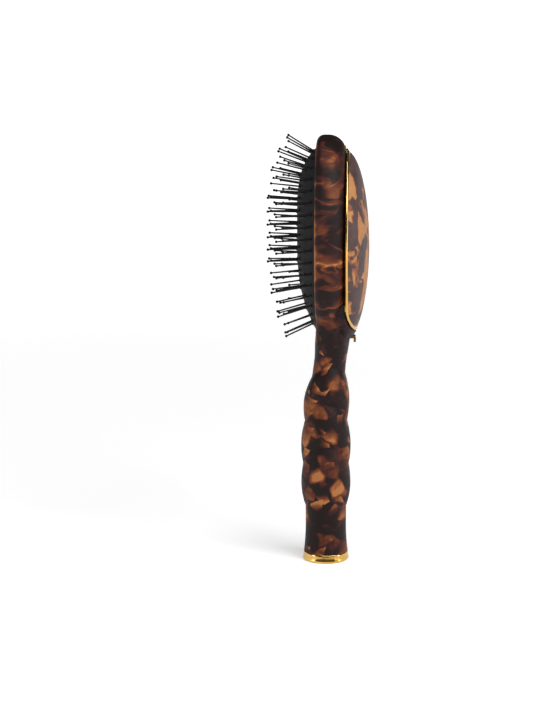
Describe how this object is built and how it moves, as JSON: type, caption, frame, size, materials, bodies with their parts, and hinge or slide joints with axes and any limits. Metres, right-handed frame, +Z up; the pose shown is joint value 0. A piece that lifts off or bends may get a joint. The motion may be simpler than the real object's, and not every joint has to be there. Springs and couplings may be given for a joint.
{
  "type": "detangling hair brush",
  "caption": "Upright detangling brush: domed rubber cushion with ball-tipped pins, waved grip, hinged oval back lid in a bright ring, sliding thumb latch and flared foot cap",
  "frame": {"origin": "centre of the flat underside of the base cap, on the handle axis", "axes": "+Z up along the handle to the head, -Y the pin side, +Y the lid side, X across the head"},
  "size_m": [0.064, 0.0528, 0.225],
  "materials": {
    "shell": "satin tortoiseshell pattern, dark brown with amber patches",
    "lid": "satin tortoiseshell pattern, dark brown with amber patches",
    "gold_trim": "polished yellow gold plating",
    "cushion": "matte charcoal elastomer",
    "pins": "black nylon",
    "black_plastic": "black moulded plastic",
    "steel": "plain steel wire"
  },
  "bodies": {
    "handle": {"brush_body": "shell", "base_cap": "gold_trim", "cushion_pad": "cushion", "hinge_pin": "steel", "latch_spring": "steel"},
    "pin_field": {"bristle_pins": "pins"},
    "lid": {"lid_shell": "lid", "lid_trim_ring": "gold_trim", "lid_catch": "black_plastic"},
    "latch": {"latch_slider": "black_plastic", "latch_tab": "gold_trim"}
  },
  "joints": [
    {"name": "lid_hinge", "type": "hinge", "parent": "handle", "child": "lid", "pos_m": [0, 0.0088, 0.2184], "axis": [1, 0, 0], "range_deg": [0, 85]},
    {"name": "latch_slide", "type": "slide", "parent": "handle", "child": "latch", "axis": [0, 0, -1], "range_m": [0, 0.0022], "stiffness_N_per_m": 300, "springref_m": -0.004, "deforming": ["latch_spring"]},
    {"name": "cushion_press", "type": "slide", "parent": "handle", "child": "pin_field", "axis": [0, 1, 0], "range_m": [0, 0.0025], "stiffness_N_per_m": 1200, "deforming": ["cushion_pad"]}
  ]
}
